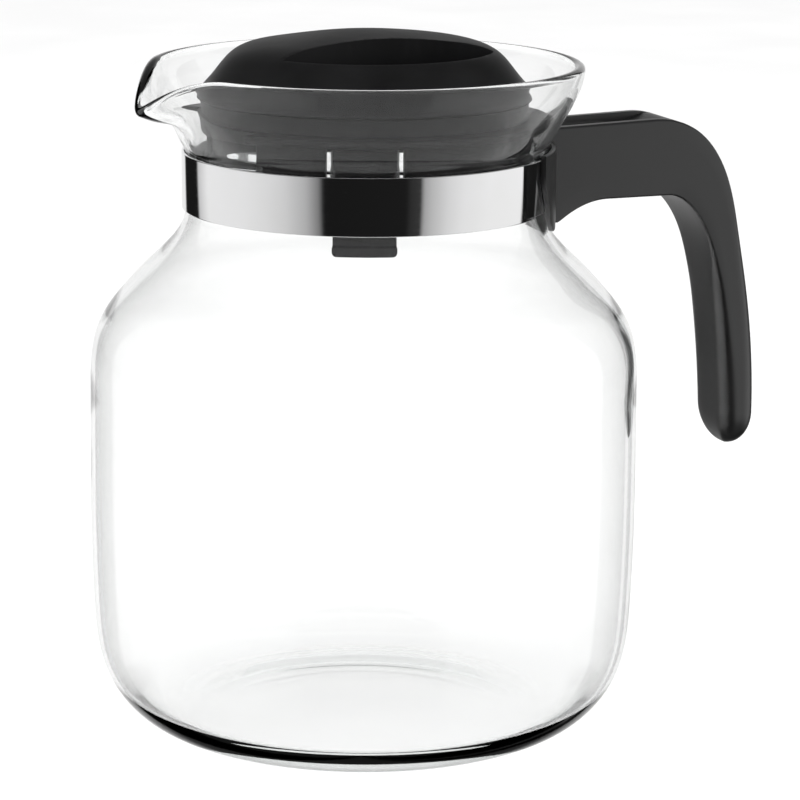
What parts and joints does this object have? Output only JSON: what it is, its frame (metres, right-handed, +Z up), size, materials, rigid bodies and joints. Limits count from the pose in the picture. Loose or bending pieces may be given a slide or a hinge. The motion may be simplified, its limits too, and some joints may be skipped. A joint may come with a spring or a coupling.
{
  "type": "glass jug",
  "caption": "Clear glass coffee and tea jug with a pouring spout, polished steel collar, hooked black handle and a domed black lid that turns and lifts out",
  "frame": {"origin": "centre of the round base, on the plane it stands on", "axes": "+Z up along the jug's axis; +X towards the handle, -X towards the spout"},
  "size_m": [0.185, 0.1454, 0.1847],
  "materials": {
    "glass": "clear blown borosilicate glass, fire-polished rim",
    "steel": "bright polished stainless strip",
    "screw_steel": "plain machined steel",
    "brass": "machined brass",
    "handle_plastic": "charcoal black moulded plastic, fine satin texture",
    "lid_plastic": "black moulded plastic, fine grained on the dome"
  },
  "bodies": {
    "jug": {"glass_jug": "glass", "collar_band": "steel", "strap_near": "steel", "strap_far": "steel", "hanger_strip": "steel", "clamp_screw": "screw_steel", "screw_washer": "screw_steel", "threaded_insert": "brass", "handle_body": "handle_plastic"},
    "lid_lift": {"lid_disc": "lid_plastic"},
    "lid": {"lid_cap": "lid_plastic", "lid_insert": "lid_plastic"},
    "latch_front": {"latch_front": "lid_plastic"},
    "latch_rear": {"latch_rear": "lid_plastic"}
  },
  "joints": [
    {"name": "lid_lift_out", "type": "slide", "parent": "jug", "child": "lid_lift", "axis": [0, 0, 1], "range_m": [0, 0.07]},
    {"name": "lid_turn", "type": "hinge", "parent": "lid_lift", "child": "lid", "pos_m": [0, 0, 0.164], "axis": [0, 0, 1], "continuous": true},
    {"name": "latch_front_flex", "type": "hinge", "parent": "lid", "child": "latch_front", "pos_m": [-0.01519, -0.03958, 0.1598], "axis": [0.9336, -0.3584, 0], "range_deg": [0, 4], "stiffness_Nm_per_rad": 1.5},
    {"name": "latch_rear_flex", "type": "hinge", "parent": "lid", "child": "latch_rear", "pos_m": [0.01519, 0.03958, 0.1598], "axis": [-0.9336, 0.3584, 0], "range_deg": [0, 4], "stiffness_Nm_per_rad": 1.5}
  ]
}
